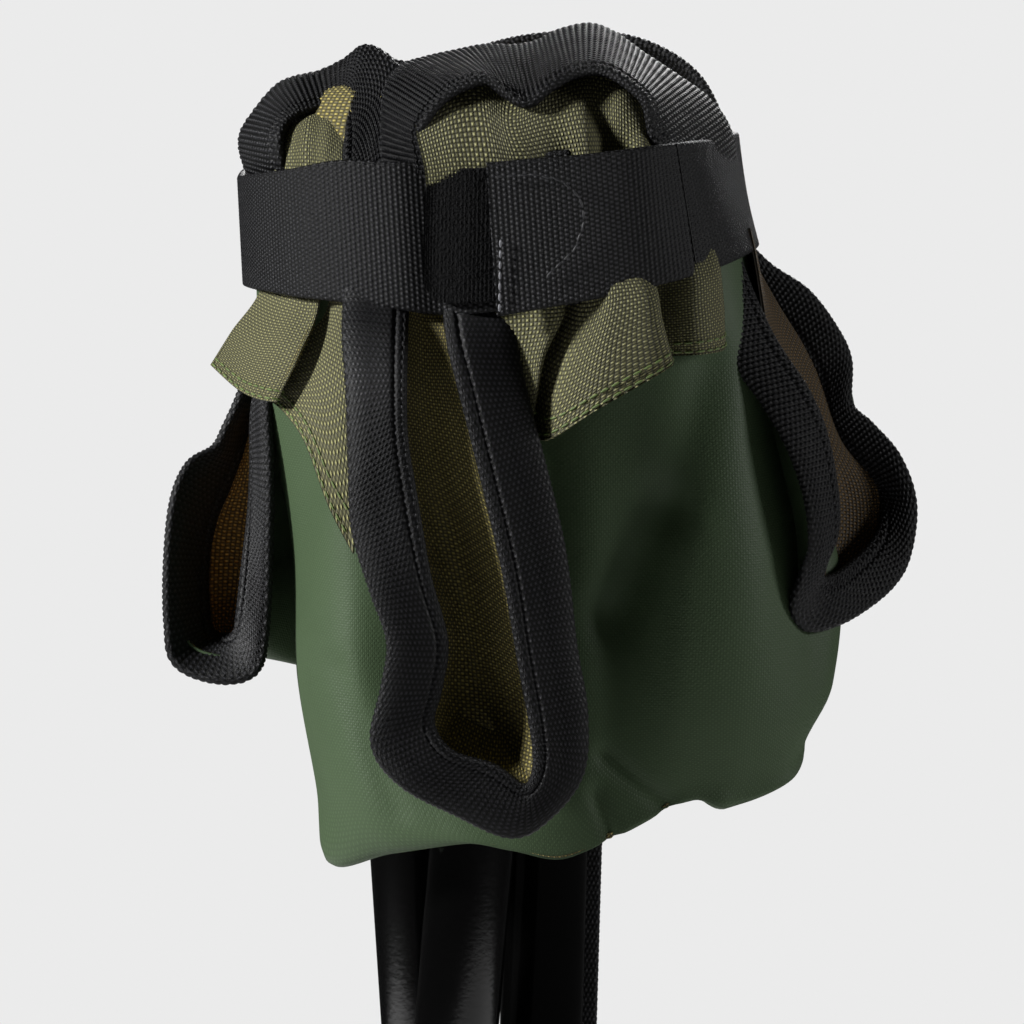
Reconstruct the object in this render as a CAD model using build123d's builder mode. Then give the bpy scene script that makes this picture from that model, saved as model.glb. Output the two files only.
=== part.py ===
from build123d import *
import math
import os

os.makedirs("parts", exist_ok=True)

# A three-legged folding stool, folded and strapped shut. Millimetres, +Z up, floor at Z = 0.
# The origin is the middle of the whole folded bundle on the floor.

# ---- driving dimensions: the frame ----
hub_x = -13.0  # the legs' common crossing point
hub_z = 290.0
leg_circle_radius = 15.0  # from the hub's centre to each tube's axis
leg_lean = 4.84  # degrees from upright, each leg sideways in its own plane
leg_angles = {"a": 112.9, "b": 232.9, "c": 352.9}  # direction of each arm of the stud
tube_diameter = 19.0
tube_wall = 1.2
tube_top = 285.0  # along the leg, from the hub
tube_bottom = -284.0
tip_cap_head = 5.0
tip_cap_plug = 15.0
tip_cap_round = 3.5
foot_diameter = 24.0
foot_top = -256.0
foot_round = 1.5
stud_diameter = 6.0
stud_reach = 32.5
pivot_clearance = 0.05  # radial, tube on stud
side_play = 0.3  # tube to washer
hub_disc_half_height = 4.8
inner_washer_start = 4.3
inner_washer_rim = 1.0
outer_washer_thickness = 1.2
washer_diameter = 14.0
cap_nut_across_flats = 10.0
cap_nut_hex = 5.0
cap_nut_dome = 3.5
cap_nut_dome_inset = 0.3
cap_nut_dome_taper = 25  # degrees

# ---- driving dimensions: the soft goods ----
cloth = 3.0  # wall of the plain closed solid that stands for gathered cloth
gap = 0.3  # between neighbouring soft solids
strap_width = 32.0
strap_thickness = 1.6
strap_centre = (-9.5, 0.0, 550.0)
strap_tilt = 5.0  # degrees, rising towards +X
strap_semi_axes = (56.6, 49.6)  # inner face
patch_thickness = 1.0
patch_margin = 2.0  # from each edge of the strap
tab_free_end = -1.5  # along the strap's own X
tab_hinge = 35.5
loop_patch_span = (-15.5, 20.0)
hook_patch_span = (-0.5, 17.0)
binding_thickness = 2.4
carry_width = 20.0
carry_clearance = 0.4  # strap to tube
carry_offset = 1.0  # towards the arm's end
carry_top = 210.0
carry_bottom = -185.0
carry_loop_height = 25.0

# The gathered seat's outline: height, centre X, half width, half depth.
seat_rings = [
    (414, -10, 40, 38),
    (440, 0, 53, 43),
    (480, 6, 60, 46),
    (515, 2, 56, 47),
    (540, -9, 55, 48),
    (566, -11, 54, 48),
    (585, -12, 50, 45),
    (596, -12, 40, 36),
]

# Outlines of the three hanging sides, as (X, Z): the outer edge, then the hollow inside its binding.
swag_ab_outer = [
    (-42, 530), (-40, 494), (-33, 470), (-34, 445), (-30, 436), (-10, 422), (2, 424), (12, 438),
    (8, 468), (0, 501), (-8, 530),
]
swag_ab_hollow = [
    (-30, 522), (-27, 491), (-20, 465), (-23, 445), (-1, 432), (1, 437), (-4, 466), (-12, 500), (-18, 522),
]
swag_bc_outer = [
    (45, 534), (57, 533), (66, 526), (69, 512), (78, 505), (83, 490), (79, 473), (69, 464), (60, 462),
    (57, 472), (58, 484), (55, 498), (48, 512), (42, 522),
]
swag_bc_hollow = [(66, 505), (72, 499), (75, 490), (72, 478), (66, 474), (65, 484), (64, 496)]
swag_ca_outer = [
    (-67, 511), (-71, 498), (-79, 494), (-83, 465), (-81, 450), (-70, 447), (-50, 447), (-50, 511),
]
swag_ca_hollow = [(-69, 492), (-68, 475), (-72, 458), (-77, 457), (-77, 474), (-74, 486)]
swag_ab_front, swag_ab_back = 58.0, 40.0  # distances in front of the bundle's middle
swag_bc_front, swag_bc_back = 22.0, -4.0
swag_ca_front, swag_ca_back = 8.0, -12.0
hollow_depth = 8.0

pocket_outlines = {
    "a": ([(-62, 527), (-44, 527), (-44, 484), (-49, 500), (-57, 511), (-72, 519)], 40.0, 26.0),
    "b": ([(-3, 530), (4, 508), (15, 515), (24, 519), (30, 525), (38, 526), (40, 531)], 52.0, 34.0),
    "c": ([(-20, 531), (-16, 512), (2, 506), (22, 514), (26, 531)], -36.0, -60.4),
}
lobe_bindings = {  # box corners of the strip of tape over each corner of the seat
    "a": ((-80, -34, 566), (-38, -20, 610)),
    "b": ((-34, -40, 574), (60, -26, 610)),
    "c": ((-20, 24, 574), (50, 38, 610)),
}


def write(solid, name):
    solid.label = name
    export_step(solid, f"parts/{name}.step")


def leg_plane(angle):
    """Plane at a leg's pivot: X along the stud's arm, Z up the leg."""
    arm = Vector(1, 0, 0).rotate(Axis.Z, angle)
    side = Vector(0, 1, 0).rotate(Axis.Z, angle)
    up = Vector(0, 0, 1) * math.cos(math.radians(leg_lean)) + side * math.sin(math.radians(leg_lean))
    centre = Vector(hub_x, 0, hub_z) + arm * leg_circle_radius
    return Plane(origin=centre, x_dir=arm, z_dir=up)


def arm_plane(angle, distance):
    """Plane across a stud's arm, at a distance from the hub's centre."""
    arm = Vector(1, 0, 0).rotate(Axis.Z, angle)
    return Plane(origin=Vector(hub_x, 0, hub_z) + arm * distance, z_dir=arm)


def seat_body(growth, top=0.0):
    """The gathered seat as one solid, each ring grown by the same amount."""
    with BuildPart() as body:
        for height, centre, half_width, half_depth in seat_rings:
            last = height == seat_rings[-1][0]
            with BuildSketch(Plane.XY.offset(height + (top if last else 0.0))):
                with Locations((centre, 0)):
                    Ellipse(half_width + growth, half_depth + growth)
        loft(ruled=True)
    return body.part


def plate(points, front, back):
    """A flat-fronted block with an (X, Z) outline, between two distances in front of the middle."""
    with BuildPart() as block:
        with BuildSketch(Plane.XZ.offset(back)):
            with BuildLine():
                Polyline(*points, close=True)
            make_face()
        extrude(amount=front - back)
    return block.part


# ---- the frame: three legs on a three-armed stud ----
for leg, angle in leg_angles.items():
    at_pivot = leg_plane(angle)

    with BuildPart() as tube:
        with BuildSketch(at_pivot.offset(tube_bottom)):
            Circle(tube_diameter / 2)
            Circle(tube_diameter / 2 - tube_wall, mode=Mode.SUBTRACT)
        extrude(amount=tube_top - tube_bottom)
        with BuildSketch(arm_plane(angle, leg_circle_radius)):
            Circle(stud_diameter / 2 + pivot_clearance)
        extrude(amount=tube_diameter, both=True, mode=Mode.SUBTRACT)
    write(tube.part, f"leg_{leg}_tube")

    with BuildPart() as tip_cap:
        with BuildSketch(at_pivot.offset(tube_top)):
            Circle(tube_diameter / 2)
        extrude(amount=tip_cap_head)
        fillet(tip_cap.edges().sort_by(Axis(at_pivot.origin, at_pivot.z_dir))[-1], tip_cap_round)
        with BuildSketch(at_pivot.offset(tube_top)):
            Circle(tube_diameter / 2 - tube_wall)
        extrude(amount=-tip_cap_plug)
    write(tip_cap.part, f"leg_{leg}_tip_cap")

    with BuildPart() as foot:
        with BuildSketch(at_pivot.offset(tube_bottom - foot_diameter)):
            Circle(foot_diameter / 2)
        extrude(amount=foot_top - tube_bottom + foot_diameter)
        fillet(foot.edges().sort_by(Axis(at_pivot.origin, at_pivot.z_dir))[-1], foot_round)
        with BuildSketch(at_pivot.offset(tube_bottom)):
            Circle(tube_diameter / 2)
        extrude(amount=foot_top - tube_bottom, mode=Mode.SUBTRACT)
        split(bisect_by=Plane.XY, keep=Keep.TOP)
    write(foot.part, f"leg_{leg}_foot")

with BuildPart() as three_way_stud:
    with BuildSketch(Plane.XY.offset(hub_z)):
        with Locations((hub_x, 0)):
            Circle(inner_washer_start)
    extrude(amount=hub_disc_half_height, both=True)
    for angle in leg_angles.values():
        with BuildSketch(arm_plane(angle, 0)):
            Circle(stud_diameter / 2)
        extrude(amount=stud_reach)
write(three_way_stud.part, "three_way_stud")

inner_face = leg_circle_radius - tube_diameter / 2 - side_play
outer_face = leg_circle_radius + tube_diameter / 2 + side_play
with BuildPart() as inner_washers:
    for angle in leg_angles.values():
        with BuildSketch(arm_plane(angle, inner_washer_start)):
            Circle(stud_diameter / 2 + inner_washer_rim)
            Circle(stud_diameter / 2 + pivot_clearance, mode=Mode.SUBTRACT)
        extrude(amount=inner_face - inner_washer_start)
write(inner_washers.part, "inner_washers")

with BuildPart() as outer_washers:
    for angle in leg_angles.values():
        with BuildSketch(arm_plane(angle, outer_face)):
            Circle(washer_diameter / 2)
            Circle(stud_diameter / 2 + pivot_clearance, mode=Mode.SUBTRACT)
        extrude(amount=outer_washer_thickness)
write(outer_washers.part, "outer_washers")

nut_face = outer_face + outer_washer_thickness
with BuildPart() as cap_nuts:
    for angle in leg_angles.values():
        with BuildSketch(arm_plane(angle, nut_face)):
            RegularPolygon(cap_nut_across_flats / 2, 6, major_radius=False)
        extrude(amount=cap_nut_hex)
        with BuildSketch(arm_plane(angle, nut_face + cap_nut_hex)):
            Circle(cap_nut_across_flats / 2 - cap_nut_dome_inset)
        extrude(amount=cap_nut_dome, taper=cap_nut_dome_taper)
        with BuildSketch(arm_plane(angle, nut_face)):
            Circle(stud_diameter / 2)
        extrude(amount=stud_reach - nut_face, mode=Mode.SUBTRACT)
write(cap_nuts.part, "cap_nuts")

# ---- the carrying strap: webbing down the back of leg C, sewn round the tube at its foot end ----
leg_c = leg_plane(leg_angles["c"])
carry_near = tube_diameter / 2 + carry_clearance
with BuildPart() as carry_strap:
    with BuildSketch(leg_c.offset(carry_bottom + carry_loop_height + gap)):
        with Locations((carry_offset, carry_near + strap_thickness / 2)):
            Rectangle(carry_width, strap_thickness)
    extrude(amount=carry_top - carry_bottom - carry_loop_height - gap)
write(carry_strap.part, "carry_strap")

with BuildPart() as carry_strap_loop:
    with BuildSketch(leg_c.offset(carry_bottom)):
        Circle(tube_diameter / 2 + strap_thickness)
        Circle(tube_diameter / 2 + pivot_clearance, mode=Mode.SUBTRACT)
    extrude(amount=carry_loop_height)
write(carry_strap_loop.part, "carry_strap_loop")

# ---- the seat: gathered cloth with three hanging sides ----
seat_solid = seat_body(0.0)
seat_grown = seat_body(gap, gap)
swags = {
    "ab": (swag_ab_outer, swag_ab_hollow, swag_ab_front, swag_ab_back),
    "bc": (swag_bc_outer, swag_bc_hollow, swag_bc_front, swag_bc_back),
    "ca": (swag_ca_outer, swag_ca_hollow, swag_ca_front, swag_ca_back),
}
with BuildPart() as seat_cloth:
    for outer, hollow, front, back in swags.values():
        add(plate(outer, front, back))
        add(plate(hollow, front, front - hollow_depth), mode=Mode.SUBTRACT)
    add(seat_solid)
    add(seat_body(-cloth, -cloth), mode=Mode.SUBTRACT)
    with BuildSketch(Plane.XY.offset(seat_rings[0][0])):
        with Locations((seat_rings[0][1], 0)):
            Ellipse(seat_rings[0][2] - cloth, seat_rings[0][3] - cloth)
    extrude(amount=-cloth, mode=Mode.SUBTRACT)
write(seat_cloth.part, "seat_cloth")

for side, (outer, hollow, front, back) in swags.items():
    with BuildPart() as edge_binding:
        add(plate(outer, front + binding_thickness, front))
        add(plate(hollow, front + binding_thickness, front), mode=Mode.SUBTRACT)
        add(seat_grown, mode=Mode.SUBTRACT)
    write(edge_binding.part, f"edge_binding_{side}")

for corner, (points, front, back) in pocket_outlines.items():
    with BuildPart() as corner_pocket:
        add(plate(points, front, back))
        add(seat_grown, mode=Mode.SUBTRACT)
    write(corner_pocket.part, f"corner_pocket_{corner}")

for corner, (low, high) in lobe_bindings.items():
    with BuildPart() as corner_binding:
        add(seat_body(gap + binding_thickness, gap + binding_thickness))
        add(seat_grown, mode=Mode.SUBTRACT)
        size = [h - l for l, h in zip(low, high)]
        with Locations(Vector(low)):
            Box(*size, align=(Align.MIN, Align.MIN, Align.MIN), mode=Mode.INTERSECT)
    write(corner_binding.part, f"corner_binding_{corner}")

# ---- the closing strap: a band round the bundle, shut by a hook-and-loop tab ----
tilt = math.radians(strap_tilt)
strap_plane = Plane(
    origin=strap_centre,
    x_dir=(math.cos(tilt), 0, math.sin(tilt)),
    z_dir=(-math.sin(tilt), 0, math.cos(tilt)),
)


def band_layer(inset, thickness, width, span=None):
    """A layer of the strap, outside its inner face by inset. span keeps only that stretch of its front."""
    half_width, half_depth = strap_semi_axes
    with BuildPart() as layer:
        with BuildSketch(strap_plane.offset(-width / 2)):
            Ellipse(half_width + inset + thickness, half_depth + inset + thickness)
            Ellipse(half_width + inset, half_depth + inset, mode=Mode.SUBTRACT)
            if span:
                with Locations(((span[0] + span[1]) / 2, -half_depth)):
                    Rectangle(span[1] - span[0], half_depth, mode=Mode.INTERSECT)
        extrude(amount=width)
    return layer.part


patch_width = strap_width - 2 * patch_margin
loop_inset = strap_thickness
hook_inset = loop_inset + patch_thickness + gap
tab_inset = hook_inset + patch_thickness
write(band_layer(0.0, strap_thickness, strap_width), "strap_band")
write(band_layer(loop_inset, patch_thickness, patch_width, loop_patch_span), "loop_patch")
write(band_layer(hook_inset, patch_thickness, patch_width, hook_patch_span), "hook_patch")
write(band_layer(tab_inset, strap_thickness, strap_width, (tab_free_end, tab_hinge)), "strap_tab")

# The peel hinge stands on the tab's inner face at its sewn end.
half_width, half_depth = (axis + tab_inset for axis in strap_semi_axes)
hinge = strap_plane.from_local_coords(
    Vector(tab_hinge, -half_depth * math.sqrt(1 - (tab_hinge / half_width) ** 2), 0)
)
print("tab hinge", [round(v, 3) for v in hinge], "axis", [round(v, 5) for v in strap_plane.z_dir])
for leg, angle in leg_angles.items():
    at_pivot = leg_plane(angle)
    print("leg", leg, [round(v, 3) for v in at_pivot.origin], "axis", [round(v, 5) for v in at_pivot.x_dir])
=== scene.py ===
import math

import bmesh
import bpy
import numpy as np
from mathutils import Matrix, Vector


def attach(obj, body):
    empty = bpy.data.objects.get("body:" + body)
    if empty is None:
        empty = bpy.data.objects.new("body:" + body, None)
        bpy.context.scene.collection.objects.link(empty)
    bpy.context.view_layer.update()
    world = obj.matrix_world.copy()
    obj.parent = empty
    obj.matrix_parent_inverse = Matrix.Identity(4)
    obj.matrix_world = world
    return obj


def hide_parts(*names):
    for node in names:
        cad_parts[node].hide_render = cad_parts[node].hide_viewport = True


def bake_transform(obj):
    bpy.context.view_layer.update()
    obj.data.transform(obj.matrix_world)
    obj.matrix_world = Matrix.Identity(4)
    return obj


bl_info = {
    "name": "Folded tripod stool",
    "version": (1, 0, 0),
    "blender": (4, 5, 0),
    "location": "3D Viewport > Sidebar > Stool",
    "description": "A folded three-legged stool, its seat gathered round the legs and strapped shut",
    "category": "Object",
}

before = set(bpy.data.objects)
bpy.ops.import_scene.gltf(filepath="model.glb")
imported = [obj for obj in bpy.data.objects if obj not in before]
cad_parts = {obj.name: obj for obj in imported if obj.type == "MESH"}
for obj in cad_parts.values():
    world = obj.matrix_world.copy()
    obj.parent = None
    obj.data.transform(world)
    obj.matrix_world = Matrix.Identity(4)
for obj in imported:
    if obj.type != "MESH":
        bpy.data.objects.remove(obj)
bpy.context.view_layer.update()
MM = 0.001
# The finished materials by short name, which make_looks fills.
LOOKS = {}

# The hub, the legs' crossing point, and each leg's arm angle on it, as in the CAD.
HUB = np.array([-13.0, 0.0, 290.0])
ARM_ANGLES = {"a": 112.9, "b": 232.9, "c": 352.9}
ARM_RADIUS = 15.0
LEAN = math.radians(4.84)
TUBE_RADIUS = 9.5
TUBE_WALL = 1.2
# Stations up a tube from its arm, from its lower end to its top.
TUBE_STATIONS = (-284.0, -100, 0, 100, 200, 285.0)


# ---------------------------------------------------------------- shape helpers


def weights(count, params, wrap=False):
    """Catmull-Rom weights, one row for each parameter and one column for each control point."""
    t = np.asarray(params, float)
    i = np.floor(t).astype(int)
    if not wrap:
        i = np.clip(i, 0, count - 2)
    f = t - i
    parts = (
        (-f + 2 * f**2 - f**3) / 2,
        (2 - 5 * f**2 + 3 * f**3) / 2,
        (f + 4 * f**2 - 3 * f**3) / 2,
        (f**3 - f**2) / 2,
    )
    at = np.arange(len(t))
    out = np.zeros((len(t), count))
    for k, w in enumerate(parts):
        j = i + k - 1
        if wrap:
            np.add.at(out, (at, j % count), w)
            continue
        low, high = j < 0, j > count - 1
        inside = ~(low | high)
        np.add.at(out, (at[inside], j[inside]), w[inside])
        for past, end, next_in in ((low, 0, 1), (high, count - 1, count - 2)):
            np.add.at(out, (at[past], np.full(past.sum(), end)), 2 * w[past])
            np.add.at(out, (at[past], np.full(past.sum(), next_in)), -w[past])
    return out


def spaced(grid, step, wrap=False):
    """Evenly spaced parameters down a grid's first direction, and the distance to each."""
    count = len(grid)
    end = count if wrap else count - 1
    fine = np.linspace(0, end, 24 * end + 1)
    places = np.tensordot(weights(count, fine, wrap), grid, 1)
    steps = np.linalg.norm(np.diff(places, axis=0), axis=-1).mean(axis=-1)
    gone = np.concatenate([[0.0], np.cumsum(steps)])
    stops = np.linspace(0, gone[-1], max(2, round(gone[-1] / step)) + 1)
    return np.interp(stops, gone, fine), stops


def unit(v):
    """Vectors at unit length."""
    return v / np.maximum(np.linalg.norm(v, axis=-1, keepdims=True), 1e-9)


def surface_normals(places, wrap):
    if wrap:
        along = np.roll(places, -1, 1) - np.roll(places, 1, 1)
    else:
        along = np.gradient(places, axis=1)
    return unit(np.cross(along, np.gradient(places, axis=0)))


def grid_faces(rows, cols, wrap_rows=False, wrap_cols=False):
    """Quads of a grid of vertices, and for each corner its row and column before wrapping."""
    i, j = np.meshgrid(
        np.arange(rows if wrap_rows else rows - 1),
        np.arange(cols if wrap_cols else cols - 1),
        indexing="ij",
    )
    i, j = i.ravel(), j.ravel()
    corner_rows = np.stack([i, i, i + 1, i + 1], 1)
    corner_cols = np.stack([j, j + 1, j + 1, j], 1)
    return (corner_rows % rows) * cols + corner_cols % cols, corner_rows, corner_cols


def signed_volume(places, faces):
    a, b, c, d = (places[faces[:, k]] for k in range(4))
    return (np.cross(a, b) * c).sum() / 6 + (np.cross(a, c) * d).sum() / 6


def add_piece(name, mesh):
    """A mesh as an object in the scene, with its place in its mesh."""
    piece = bpy.data.objects.new(name, mesh)
    bpy.context.scene.collection.objects.link(piece)
    return piece


def add_mesh(name, places, faces, corners, looks, slots=None, caps=()):
    """A closed mesh from millimetres, with its faces outward and a UV map in metres.
    caps are the flat triangles that close its ends, if it has any."""
    caps = np.array(caps, int).reshape(-1, 3)
    if signed_volume(places, faces) < 0:
        faces, corners, caps = faces[:, ::-1], corners[:, ::-1], caps[:, ::-1]
    mesh = bpy.data.meshes.new(name)
    mesh.from_pydata((places * MM).tolist(), [], faces.tolist() + caps.tolist())
    spots = np.concatenate([corners.reshape(-1, 2), np.zeros((caps.size, 2))])
    mesh.uv_layers.new(name="weave").data.foreach_set("uv", (spots * MM).astype(np.float32).ravel())
    mesh.polygons.foreach_set("use_smooth", np.arange(len(faces) + len(caps)) < len(faces))
    for look in looks:
        mesh.materials.append(LOOKS[look])
    if slots is not None:
        mesh.polygons.foreach_set("material_index", slots.astype(np.int32))
    mesh.update()
    return add_piece(name, mesh)


def cloth(name, rows, looks, step=1.3, thickness=0.6, facing=None, wrap=False, folds=None):
    """A sheet of cloth through rows of control points, as a thin closed solid.
    looks are its outer and inner material, facing is the way its outer side looks, or None for
    away from the middle of the bundle, and folds is how far each point moves outwards. Returns
    the piece, its outer side's points and normals, and how far down each row of points is."""
    grid = np.array(rows, float)
    down, down_at = spaced(grid, step)
    across, across_at = spaced(grid.swapaxes(0, 1), step, wrap)
    stations = across[:-1] if wrap else across
    places = np.einsum(
        "ai,bj,ijk->abk",
        weights(len(grid), down),
        weights(grid.shape[1], stations, wrap),
        grid,
    )
    normals = surface_normals(places, wrap)
    if facing is None:
        away = places - HUB
        away[..., 2] = 0
        side = np.sign((normals * away).sum())
    else:
        side = np.sign((normals @ np.array(facing, float)).sum())
    normals = normals * side
    if folds is not None:
        u, v = np.meshgrid(across_at[: places.shape[1]], down_at)
        places = places + normals * folds(u, v, places)[..., None]
        normals = surface_normals(places, wrap) * side
    high, wide = places.shape[:2]
    count = high * wide
    faces, r, c = grid_faces(high, wide, wrap_cols=wrap)
    uv = np.stack([across_at[c], down_at[r]], -1)
    all_faces = [faces, faces[:, ::-1] + count]
    all_uv = [uv, uv[:, ::-1]]
    slots = [np.zeros(len(faces)), np.ones(len(faces))]

    def rim(line, spots):
        a, b = line[:-1], line[1:]
        quads = np.stack([a, a + count, b + count, b], 1)
        ends = np.stack([spots[:-1], spots[:-1], spots[1:], spots[1:]], 1)
        all_faces.append(quads)
        all_uv.append(ends)
        slots.append(np.zeros(len(quads)))

    cols = np.arange(wide + 1) if wrap else np.arange(wide)
    last = (high - 1) * wide
    rim((cols % wide)[::-1], np.stack([across_at[cols], 0 * cols], 1)[::-1])
    rim(last + cols % wide, np.stack([across_at[cols], 0 * cols + down_at[-1]], 1))
    if not wrap:
        rim(np.arange(high) * wide, np.stack([0 * down_at, down_at], 1))
        rim(
            (np.arange(high) * wide + wide - 1)[::-1],
            np.stack([0 * down_at + across_at[-1], down_at], 1)[::-1],
        )
    piece = add_mesh(
        name,
        np.concatenate([places.reshape(-1, 3), (places - normals * thickness).reshape(-1, 3)]),
        np.concatenate(all_faces),
        np.concatenate(all_uv),
        looks,
        np.concatenate(slots),
    )
    return piece, places, normals, down_at


def woven_cells(u, v, long, across, height):
    """Ribs across the tape, each broken into rounded floats half a float off its neighbours."""
    row = np.floor(u / long)
    a = np.abs(np.sin(math.pi * u / long))
    b = np.abs(np.sin(math.pi * (v / across + 0.5 * (row % 2))))
    return height * (a**0.7 * b**0.6 - 0.6)


# The depth and half width of the groove that a seam pulls into a tape.
SEAM_GROOVE = 0.45


def tape(
    name, pairs, looks, facing, long=1.2, across=1.05, height=0.4, thickness=2.2,
    step=0.3, cell_step=0.27, sewn=1.7, crown=0.5, stretch=None,
):
    """Woven tape between two edges given as pairs of points, outer edge first, in millimetres.
    Its face has real floats, long by across, and its outer edge is a rounded fold. crown is how far
    its middle stands up, sewn is the distance of the seam from its inner edge, or None, facing is as
    in cloth, and stretch keeps a span of the control points."""
    ends = np.array(pairs, float).reshape(-1, 2, 3)
    along, along_at = spaced(ends, step)
    if stretch is not None:
        keep = (along >= stretch[0]) & (along <= stretch[1])
        along, along_at = along[keep], along_at[keep]
    edges = np.tensordot(weights(len(ends), along), ends, 1)
    outer, inner = edges[:, 0], edges[:, 1]
    widths = np.linalg.norm(outer - inner, axis=1)
    wide = widths.mean()
    over = unit(outer - inner)
    tangent = unit(np.gradient((outer + inner) / 2, axis=0))
    up = unit(np.cross(over, tangent))
    if facing is None:
        away = (outer + inner) / 2 - HUB
        away[:, 2] = 0
        up = up * np.sign((up * away).sum())
    else:
        up = up * np.sign((up @ np.array(facing, float)).sum())
    over = unit(np.cross(tangent, up)) * np.sign((np.cross(tangent, up) * over).sum())
    front = np.linspace(0, 1, max(6, round(wide / cell_step)))
    turn = np.radians(np.linspace(90, -90, 9)[1:-1])
    back = np.linspace(1, 0, 6)
    section, spans = [], []
    half = thickness / 2
    for s in front:
        floats = woven_cells(along_at, s * wide + 0 * along_at, long, across, height)
        lift = crown * (1 - (2 * s - 1) ** 4) + floats
        if sewn is not None:
            lift = lift - SEAM_GROOVE * np.exp(-(((s * wide - sewn) / SEAM_GROOVE) ** 2))
        section.append(inner + (outer - inner) * s + up * lift[:, None])
        spans.append(s * wide)
    for a in turn:
        reach = wide + half * (math.pi / 2 - a)
        lift = half + 0.8 * woven_cells(along_at, reach + 0 * along_at, long, across, height)
        section.append(outer - up * half + lift[:, None] * (math.cos(a) * over + math.sin(a) * up))
        spans.append(reach)
    for s in back:
        section.append(inner + (outer - inner) * s - up * thickness)
        spans.append(wide * (2 - s) + math.pi * half)
    for a in turn[::-1]:
        section.append(inner - up * half + half * (math.sin(a) * up - math.cos(a) * over))
        spans.append(2 * wide + math.pi * half + half * (a + math.pi / 2))
    places = np.stack(section, 1)
    high, round_count = places.shape[:2]
    spans = np.array(spans + [spans[-1] + 1])
    faces, r, c = grid_faces(high, round_count, wrap_cols=True)
    uv = np.stack([along_at[r], spans[c]], -1)
    middle = places[[0, -1]].mean(axis=1)
    flat = np.concatenate([places.reshape(-1, 3), middle])
    first, last = high * round_count, high * round_count + 1
    ring = np.arange(round_count)
    following = (ring + 1) % round_count
    # Each end is closed with a fan of triangles round its middle.
    start = np.stack([following, ring, np.full_like(ring, first)], 1)
    offset = (high - 1) * round_count
    end = np.stack([ring + offset, following + offset, np.full_like(ring, last)], 1)
    return add_mesh(name, flat, faces, uv, looks, caps=np.concatenate([start, end]))


def row_of(text):
    """Points from 'x,y,z x,y,z ...' in millimetres."""
    return [[float(n) for n in point.split(",")] for point in text.split()]


def grid_of(text):
    """Rows of points, with a semicolon between one row and the next."""
    return [row_of(row) for row in text.split(";")]


def leg_axes(leg):
    """A leg's pivot point, its arm, the direction across it and the direction up it."""
    a = math.radians(ARM_ANGLES[leg])
    arm = np.array([math.cos(a), math.sin(a), 0])
    side = np.array([-math.sin(a), math.cos(a), 0])
    up = np.array([0, 0, 1]) * math.cos(LEAN) + side * math.sin(LEAN)
    return HUB + arm * ARM_RADIUS, arm, np.cross(up, arm), up


def turned(name, leg, profile, look, sides=72):
    """A solid of revolution round a leg's axis, from a closed profile of radius and height."""
    centre, arm, across, up = leg_axes(leg)
    turn = np.linspace(0, 2 * math.pi, sides, endpoint=False)
    ring = np.cos(turn)[:, None] * arm + np.sin(turn)[:, None] * across
    places = np.stack([centre + ring * r + up * h for r, h in profile], 0)
    high = len(profile)
    faces, r, c = grid_faces(high, sides, wrap_rows=True, wrap_cols=True)
    heights = np.array([h for _, h in profile] + [profile[0][1]])
    uv = np.stack([c * (2 * math.pi * TUBE_RADIUS / sides), heights[r]], -1)
    return add_mesh(name, places.reshape(-1, 3), faces, uv, [look])


def smooth_copy(node, look, sharp=32.0):
    """A CAD node's shape as a welded, smoothly shaded piece in its place."""
    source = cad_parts[node]
    mesh = source.data.copy()
    work = bmesh.new()
    work.from_mesh(mesh)
    bmesh.ops.remove_doubles(work, verts=work.verts, dist=0.00001)
    bmesh.ops.recalc_face_normals(work, faces=work.faces)
    for face in work.faces:
        face.smooth = True
    for edge in work.edges:
        edge.smooth = len(edge.link_faces) == 2 and edge.calc_face_angle(0) < math.radians(sharp)
    work.to_mesh(mesh)
    work.free()
    mesh.materials.clear()
    mesh.materials.append(LOOKS[look])
    return add_piece(node + "_finish", mesh)


def settle(piece, body, slot, *nodes):
    """Put a piece on its body, in the place of the CAD nodes that it finishes. Its slot is not used."""
    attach(piece, body)
    if nodes:
        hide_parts(*nodes)
    return piece


# ---------------------------------------------------------------- materials


def linear(rgb):
    """A colour from 0 to 255 sRGB values, which are capped at 255."""
    out = []
    for value in rgb:
        x = min(255, value) / 255
        out.append(x / 12.92 if x <= 0.04045 else ((x + 0.055) / 1.055) ** 2.4)
    return (*out, 1.0)


def shade(rgb, *shares):
    """A colour with all its values, or each of them, multiplied."""
    return [c * k for c, k in zip(rgb, shares * 3 if len(shares) == 1 else shares)]


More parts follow.
